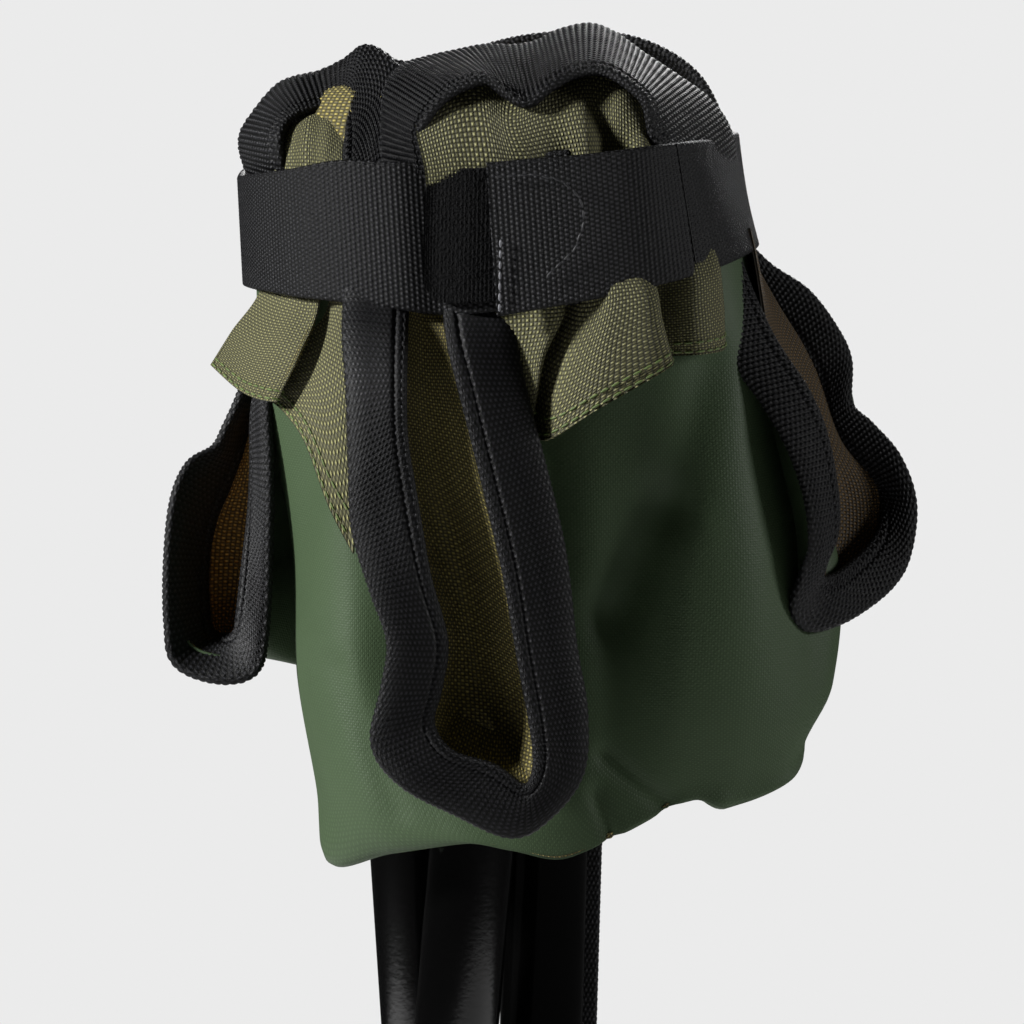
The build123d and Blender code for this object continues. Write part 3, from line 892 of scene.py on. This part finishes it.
# The straight seam along the tab's end, and the bowed one over its sewn patch.
TAB_END = [[-9.6, -55.3, z] for z in np.linspace(535.5, 549, 12)]
TAB_SEAM = row_of("""
    -10,-55.5,563 -3,-55.4,563.6 3,-55,562.4 7,-54.5,558.8 8,-54.4,554 6,-54.7,548 1,-55.1,543
""")

# How webbing and hook-and-loop pile differ from binding tape.
WEBBING = dict(long=1.13, across=2.0, thickness=1.6, sewn=None, crown=0.0)
PILE = dict(
    long=0.9, across=0.8, height=0.55, thickness=0.9, step=0.3, cell_step=0.3, sewn=None, crown=0.1,
)

# The strap's upper edge stands inside its lower one, more so towards the front right.
STRAP_DRAW = 0.99
RIGHT_DRAW = 0.105
STRAP_TILT = math.radians(5)


def strap_pairs():
    """The strap's lower and upper edges."""
    out = []
    for x, y, z, half in STRAP:
        in_front = min(1, max(0, (10 - y) / 20))
        to_right = max(0, x - 20) / 26
        draw = STRAP_DRAW - RIGHT_DRAW * in_front * to_right
        tilt = half * math.sin(STRAP_TILT)
        upper_x = HUB[0] + (x - HUB[0]) * draw - tilt
        out.append([[x + tilt, y, z - half], [upper_x, y * draw, z + half]])
    return out


def edges_round(line):
    """The two edges of a band from its middle line: x, y, height and half width."""
    return [[[x, y, z - half], [x, y, z + half]] for x, y, z, half in line]


def moved(rows, by):
    """Rows of points, all shifted by one vector."""
    return (np.array(rows, float) + np.array(by, float)).tolist()


def drawn_in(rows, inward, back):
    """Rows moved towards their middle and away from the front, so that a tape covers their edge."""
    places = np.array(rows, float)
    middle = places.mean(axis=(0, 1))
    towards = middle - places
    towards[..., 1] = 0
    places = places + unit(towards) * inward
    places[..., 1] += back
    return places.tolist()


def gathers(u, v, places):
    """Small folds, strongest close under and over the strap, fading away from it."""
    reach = np.exp(-(((places[..., 2] - 552) / 24.0) ** 2))
    wave = np.sin(u / 1.9) + 0.6 * np.sin(u / 1.15 + 1.3 * np.sin(v / 17))
    slow = 0.7 * np.sin(u / 11 + v / 26) + 0.5 * np.sin(v / 13 - u / 19)
    return reach * 0.3 * wave + 0.35 * slow * (1 - 0.5 * reach)


# Creases in the front of the coated side: the x and z of their two ends, depth and half width.
SHELL_CREASES = (
    (15, 438, 31, 425, 1.5, 2.2),
    (13, 430, 19, 415, 1.3, 1.8),
    (31, 425, 41, 427, -1.2, 2.0),
    (36, 522, 27, 492, 2.6, 6.0),
    (27, 492, 15, 468, 2.6, 6.0),
    (15, 468, 10, 440, 1.6, 5.0),
    (-44, 455, -30, 425, 0.8, 3.0),
)


def shell_creases(u, v, places):
    """Soft drags all over the coated cloth, and its creases."""
    x, z = places[..., 0], places[..., 2]
    slow = 0.8 * np.sin(v / 19 + u / 33) + 0.5 * np.sin(u / 15 - v / 23)
    front = (places[..., 1] < 0).astype(float)
    crease = np.zeros_like(x)
    for x0, z0, x1, z1, deep, wide in SHELL_CREASES:
        dx, dz = x1 - x0, z1 - z0
        t = np.clip(((x - x0) * dx + (z - z0) * dz) / (dx * dx + dz * dz), 0, 1)
        gone = np.hypot(x - x0 - t * dx, z - z0 - t * dz)
        crease -= deep * np.exp(-((gone / wide) ** 2))
    return 0.3 * slow + 0.7 * crease * front


def soft_folds(u, v, places):
    """Slack waves in the cloth inside a pouch."""
    return 0.35 * np.sin(v / 7 + u / 11) + 0.22 * np.sin(u / 4 - v / 15)


# ---------------------------------------------------------------- operators


class StoolSettings(bpy.types.PropertyGroup):
    """Sizes and colours of the stool's soft goods."""

    olive: bpy.props.FloatVectorProperty(
        name="Olive cloth", description="Colour of the woven side and the pockets",
        subtype="COLOR_GAMMA", size=3, default=(0.55, 0.54, 0.37), min=0, max=1,
    )
    green: bpy.props.FloatVectorProperty(
        name="Green coating", description="Colour of the coated side",
        subtype="COLOR_GAMMA", size=3, default=(0.272, 0.338, 0.238), min=0, max=1,
    )
    yarn: bpy.props.FloatProperty(
        name="Yarn pitch", description="Distance from one yarn of the olive cloth to the next",
        unit="LENGTH", default=0.00075, min=0.0002, max=0.003,
    )
    cloth_step: bpy.props.FloatProperty(
        name="Cloth mesh step", description="Distance between the cloth's points, in millimetres",
        default=1.3, min=0.5, max=5,
    )


class StoolOperator(bpy.types.Operator):
    """A base for the operators that build a group of pieces."""

    bl_options = {"REGISTER", "UNDO"}


class STOOL_OT_materials(StoolOperator):
    """Make the materials of every piece"""

    bl_idname = "stool.materials"
    bl_label = "Materials"

    def execute(self, context):
        make_looks(context.scene.stool)
        return {"FINISHED"}


class STOOL_OT_legs(StoolOperator):
    """Make the three tubes, their tip caps and feet, and the hardware at their crossing"""

    bl_idname = "stool.legs"
    bl_label = "Legs and hub"

    def execute(self, context):
        for leg in ARM_ANGLES:
            body = f"leg_{leg}"
            wall = [(TUBE_RADIUS, height) for height in TUBE_STATIONS]
            bore = [(TUBE_RADIUS - TUBE_WALL, wall[end][1]) for end in (-1, 0)]
            tube = turned(f"leg_{leg}_tube_finish", leg, wall + bore, "tube")
            for polygon in tube.data.polygons:
                polygon.use_smooth = abs(polygon.normal.dot(Vector(leg_axes(leg)[3]))) < 0.5
            settle(tube, body, "tube_black", f"leg_{leg}_tube")
            for part, look in (("tip_cap", "plastic"), ("foot", "rubber")):
                node = f"leg_{leg}_{part}"
                settle(smooth_copy(node, look), body, f"{look}_black", node)
        for node, look, slot in (
            ("three_way_stud", "zinc", "steel_zinc"), ("inner_washers", "nylon", "nylon_white"),
            ("outer_washers", "zinc", "steel_zinc"), ("cap_nuts", "zinc", "steel_zinc"),
        ):
            settle(smooth_copy(node, look), "hub", slot, node)
        return {"FINISHED"}


class STOOL_OT_seat(StoolOperator):
    """Make the seat's coated side, gathered round the legs, and the cloth over the leg tips"""

    bl_idname = "stool.seat"
    bl_label = "Gathered seat"

    def execute(self, context):
        step = context.scene.stool.cloth_step
        shell, *_ = cloth(
            "seat_shell", SHELL_ROWS, ["green", "painted_light_seat_side"], step, wrap=True, folds=shell_creases,
        )
        settle(shell, "hub", "coated_cloth_green", "seat_cloth")
        crown, *_ = cloth(
            "seat_crown", crown_rows(), ["painted_light_seat_side", "green"], 1.6, facing=(0, 0, 1), wrap=True,
            folds=pinched,
        )
        settle(crown, "hub", "woven_cloth_olive")
        return {"FINISHED"}


# Rings of the cloth over the leg tips, from under the strap inwards: half width, half depth, height.
CROWN_RINGS = (
    (53, 45.5, 556), (51, 42, 570), (47, 37.5, 580), (39, 30.5, 583.4), (29, 22, 584),
    (19, 15, 583.2), (11, 9, 582.4), (5, 4, 582), (1, 0.8, 581.9),
)
CROWN_MIDDLE = -11.5


def crown_rows():
    """Each ring of the crown as a row of control points."""
    turn = np.linspace(0, 2 * math.pi, 24, endpoint=False)
    return [
        [[CROWN_MIDDLE + wide * math.cos(a), deep * math.sin(a), height] for a in turn]
        for wide, deep, height in CROWN_RINGS
    ]


def pinched(u, v, places):
    """Folds running in to the middle, between the leg tips."""
    turn = np.arctan2(places[..., 1], places[..., 0] - HUB[0])
    reach = np.hypot(places[..., 1], places[..., 0] - HUB[0])
    pleats = np.sin(turn * 7 + 0.6 * np.sin(reach / 9)) * np.exp(-(((reach - 17) / 12) ** 2))
    return 0.9 * pleats + 0.3 * np.sin(v / 6)


class STOOL_OT_pockets(StoolOperator):
    """Make the three corner pockets with their stitched hems"""

    bl_idname = "stool.pockets"
    bl_label = "Corner pockets"

    def execute(self, context):
        step = context.scene.stool.cloth_step
        hems = []
        for corner, rows, facing in (
            ("a", POCKET_A, (-0.6, -1, 0)), ("b", POCKET_B, (0, -1, 0)), ("c", POCKET_C, (0, 1, 0)),
        ):
            patch, *side = cloth(
                f"pocket_{corner}", rows, ["olive", "painted_light_seat_side"], min(step, 1.1), 0.9, facing,
                folds=gathers,
            )
            settle(patch, "hub", "woven_cloth_olive", f"corner_pocket_{corner}")
            hems += [line_on(*side, 3.6, span=(0.03, 0.97)), line_on(*side, 1.0, span=(0.04, 0.96))]
        stitches(
            "pocket_hem_stitches", hems, "green_thread", "hub", "woven_cloth_olive",
            pitch=2.6, length=2.0, thickness=0.5,
        )
        return {"FINISHED"}


class STOOL_OT_sides(StoolOperator):
    """Make the three hanging sides of the seat as open pouches"""

    bl_idname = "stool.sides"
    bl_label = "Hanging sides"

    def execute(self, context):
        step = context.scene.stool.cloth_step
        # The insides of AB and CA take the woven side lightened as painted light, and BC's takes it
        # darkened as painted shade.
        for name, rows, look, facing in (
            ("ab", SIDE_AB, "painted_light_seat_side", (0, -1, 0)),
            ("bc", SIDE_BC, "shaded_side", (0.3, -1, 0)),
            ("ca", SIDE_CA, "painted_light_pouch_side", (-0.3, -1, 0)),
        ):
            side, *_ = cloth(
                f"side_{name}_inside", moved(rows, (0, 1.5, 0)), [look, "green"], step,
                facing=facing, folds=soft_folds,
            )
            settle(side, "hub", "woven_cloth_olive")
        for name, rows, facing in (
            ("ab", HULL_AB, (0, 0, -1)), ("bc", HULL_BC, (0.3, 0.6, -1)), ("ca", HULL_CA, (-1, 0, -1)),
        ):
            hull, *_ = cloth(
                f"side_{name}_outside", drawn_in(rows, 1.6, 1.5), ["green", "painted_light_seat_side"], step,
                facing=facing,
            )
            settle(hull, "hub", "coated_cloth_green")
        return {"FINISHED"}


class STOOL_OT_bindings(StoolOperator):
    """Make the black tape folded over the seat's edges"""

    bl_idname = "stool.bindings"
    bl_label = "Edge bindings"

    def execute(self, context):
        for name, pairs, facing in (
            ("binding_ab", EDGE_AB, (0, -1, 0.2)), ("binding_bc", EDGE_BC, (0, -1, 0.2)),
            ("binding_ca", EDGE_CA, (0, -1, 0.2)), ("binding_corner_a", EDGE_A, (-0.3, -1, 0.5)),
            ("binding_corner_b", EDGE_B, (0, -1, 0.5)), ("binding_corner_c", EDGE_C, (0, 1, 0.5)),
        ):
            place = name.rpartition("_")[2]
            node = f"corner_binding_{place}" if "corner" in name else f"edge_binding_{place}"
            settle(tape(name, pairs, ["binding"], facing), "hub", "binding_tape_black", node)
        return {"FINISHED"}


class STOOL_OT_strap(StoolOperator):
    """Make the closing strap, its tab and the hook-and-loop patches"""

    bl_idname = "stool.strap"
    bl_label = "Closing strap"

    def execute(self, context):
        pairs = strap_pairs()
        ribs = dict(WEBBING, height=0.15, step=0.31, cell_step=0.5)
        band = tape("strap_band_webbing", pairs, ["webbing"], None, stretch=(0, TAB_START), **ribs)
        settle(band, "hub", "webbing_black", "strap_band")
        ahead = (0, -1, 0)
        free = (TAB_START - 0.02, len(pairs))
        tab = tape("strap_tab_webbing", pairs, ["webbing"], ahead, stretch=free, **ribs)
        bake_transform(tab)
        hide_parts("strap_tab")
        for patch, line, facing, body in (
            ("loop_patch", LOOP_PATCH, ahead, "hub"), ("hook_patch", HOOK_PATCH, (0, 1, 0), "strap_tab"),
        ):
            pile = tape(f"{patch}_pile", edges_round(line), ["pile"], facing, **PILE)
            settle(pile, body, "hook_and_loop_black", patch)
        for name, line, thread, pitch, length, thickness in (
            ("tab_end_stitches", TAB_END, "pale_thread", 2.0, 1.7, 0.6),
            ("tab_seam_stitches", TAB_SEAM, "black_thread", 2.4, 2.0, 0.5),
        ):
            stitches(name, [line], thread, "strap_tab", "webbing_black", pitch, length, thickness)
        return {"FINISHED"}


# The carrying strap: how far its middle is from leg C's axis, its edges along the arm, and its
# control points up the leg. Its loop winds round the tube and grows by a little for each degree.
CARRY_GAP = 11.5
CARRY_EDGES = (11.0, -9.0)
CARRY_HEIGHTS = (-159.5, -60, 40, 130, 210)
LOOP_RADIUS = 11.1
LOOP_SPIRAL = 0.0006
LOOP_HEIGHTS = (-185, -160.2)


class STOOL_OT_carry(StoolOperator):
    """Make the carrying strap behind a leg, and the loop that holds it"""

    bl_idname = "stool.carry"
    bl_label = "Carrying strap"

    def execute(self, context):
        centre, arm, across, up = leg_axes("c")
        ribs = dict(WEBBING, height=0.2, cell_step=0.55)
        edges = [
            [(centre + up * height + across * CARRY_GAP + arm * x).tolist() for x in CARRY_EDGES]
            for height in CARRY_HEIGHTS
        ]
        strap = tape("carry_strap_webbing", edges, ["webbing"], across, **ribs)
        settle(strap, "leg_c", "webbing_black", "carry_strap")
        ring = []
        for angle in np.arange(-90, 271, 30):
            a = math.radians(angle)
            spoke = (math.cos(a) * arm + math.sin(a) * across) * (LOOP_RADIUS + LOOP_SPIRAL * angle)
            ring.append([(centre + spoke + up * height).tolist() for height in LOOP_HEIGHTS])
        loop = tape("carry_loop_webbing", ring, ["webbing"], None, step=0.34, **ribs)
        settle(loop, "leg_c", "webbing_black", "carry_strap_loop")
        return {"FINISHED"}


class STOOL_OT_sheets(StoolOperator):
    bl_idname = "stool.sheets"
    bl_label = "Cut sizes"

    def execute(self, context):
        return {"FINISHED"}


class STOOL_OT_stage(StoolOperator):
    """Make the floor, the lights, the world and the camera"""

    bl_idname = "stool.stage"
    bl_label = "Stage"

    def execute(self, context):
        scene = context.scene
        mesh = bpy.data.meshes.new("floor")
        work = bmesh.new()
        bmesh.ops.create_circle(work, cap_ends=True, segments=96, radius=1.1)
        work.to_mesh(mesh)
        work.free()
        floor = bpy.data.objects.new("floor", mesh)
        scene.collection.objects.link(floor)
        floor.location.z = -0.0005
        mesh.materials.append(Look("pale floor", 0.9, (226, 226, 226), 0.2).material)

        # The camera sees a pale room, and the stool is lit by a much dimmer one.
        world = bpy.data.worlds.new("studio")
        scene.world = world
        world.use_nodes = True
        tree = Tree(world.node_tree)
        room = tree.nodes["Background"]
        room.inputs["Color"].default_value = linear((235, 235, 235))
        room.inputs["Strength"].default_value = 1.0
        soft = tree.node("ShaderNodeBackground", Color=(1, 1, 1, 1), Strength=0.02)
        path = tree.node("ShaderNodeLightPath")
        mix = tree.nodes.new("ShaderNodeMixShader")
        seen = (path.outputs["Is Camera Ray"], soft.outputs[0], room.outputs[0])
        for output, socket in zip(seen, mix.inputs):
            tree.put(output, socket)
        tree.put(mix.outputs[0], tree.nodes["World Output"].inputs["Surface"])

        for name, place, target, size, power in (
            ("key", (-1.6, -0.6, 1.2), (-0.01, 0, 0.52), 0.3, 54),
            ("right", (1.5, -0.12, 0.95), (0.0, 0, 0.50), 0.35, 9),
            ("rim", (0.2, 1.0, 1.1), (0.0, 0, 0.52), 0.5, 9),
        ):
            light = bpy.data.lights.new(name, "AREA")
            light.size = size
            light.energy = power
            lamp = bpy.data.objects.new(name, light)
            lamp.location = place
            lamp.rotation_euler = (Vector(target) - Vector(place)).to_track_quat("-Z", "Y").to_euler()
            scene.collection.objects.link(lamp)

        camera = bpy.data.objects.new("camera", bpy.data.cameras.new("camera"))
        camera.data.lens = 140.3
        camera.data.sensor_width = 36
        camera.data.clip_start, camera.data.clip_end = 0.05, 20
        # It looks along Y, a little down, and is tilted a little about its own axis.
        down, roll = math.radians(6), math.radians(1.05)
        look = Vector((0, math.cos(down), -math.sin(down)))
        level, rise = Vector((1, 0, 0)), Vector((0, math.sin(down), math.cos(down)))
        right = level * math.cos(roll) + rise * math.sin(roll)
        top = rise * math.cos(roll) - level * math.sin(roll)
        turn = Matrix((right, top, -look)).transposed()
        camera.matrix_world = Matrix.Translation((-0.00616, -0.8951, 0.5806)) @ turn.to_4x4()
        scene.collection.objects.link(camera)
        scene.camera = camera
        scene.view_settings.view_transform = "Standard"
        scene.view_settings.look = "None"
        return {"FINISHED"}


OPERATORS = (
    STOOL_OT_materials, STOOL_OT_legs, STOOL_OT_seat, STOOL_OT_pockets, STOOL_OT_sides,
    STOOL_OT_bindings, STOOL_OT_strap, STOOL_OT_carry, STOOL_OT_sheets, STOOL_OT_stage,
)


class STOOL_PT_panel(bpy.types.Panel):
    """Lists the stool's operators and sizes"""

    bl_idname = "STOOL_PT_panel"
    bl_label = "Stool"
    bl_space_type = "VIEW_3D"
    bl_region_type = "UI"
    bl_category = "Stool"

    def draw(self, context):
        for name in ("olive", "green", "yarn", "cloth_step"):
            self.layout.prop(context.scene.stool, name)
        for operator in OPERATORS:
            self.layout.operator(operator.bl_idname)


def register():
    bpy.utils.register_class(StoolSettings)
    bpy.types.Scene.stool = bpy.props.PointerProperty(type=StoolSettings)
    for operator in OPERATORS:
        bpy.utils.register_class(operator)
    bpy.utils.register_class(STOOL_PT_panel)


def unregister():
    bpy.utils.unregister_class(STOOL_PT_panel)
    for operator in reversed(OPERATORS):
        bpy.utils.unregister_class(operator)
    del bpy.types.Scene.stool
    bpy.utils.unregister_class(StoolSettings)


def main():
    register()
    for operator in OPERATORS:
        area, name = operator.bl_idname.split(".")
        getattr(getattr(bpy.ops, area), name)()


if __name__ == "__main__":
    main()
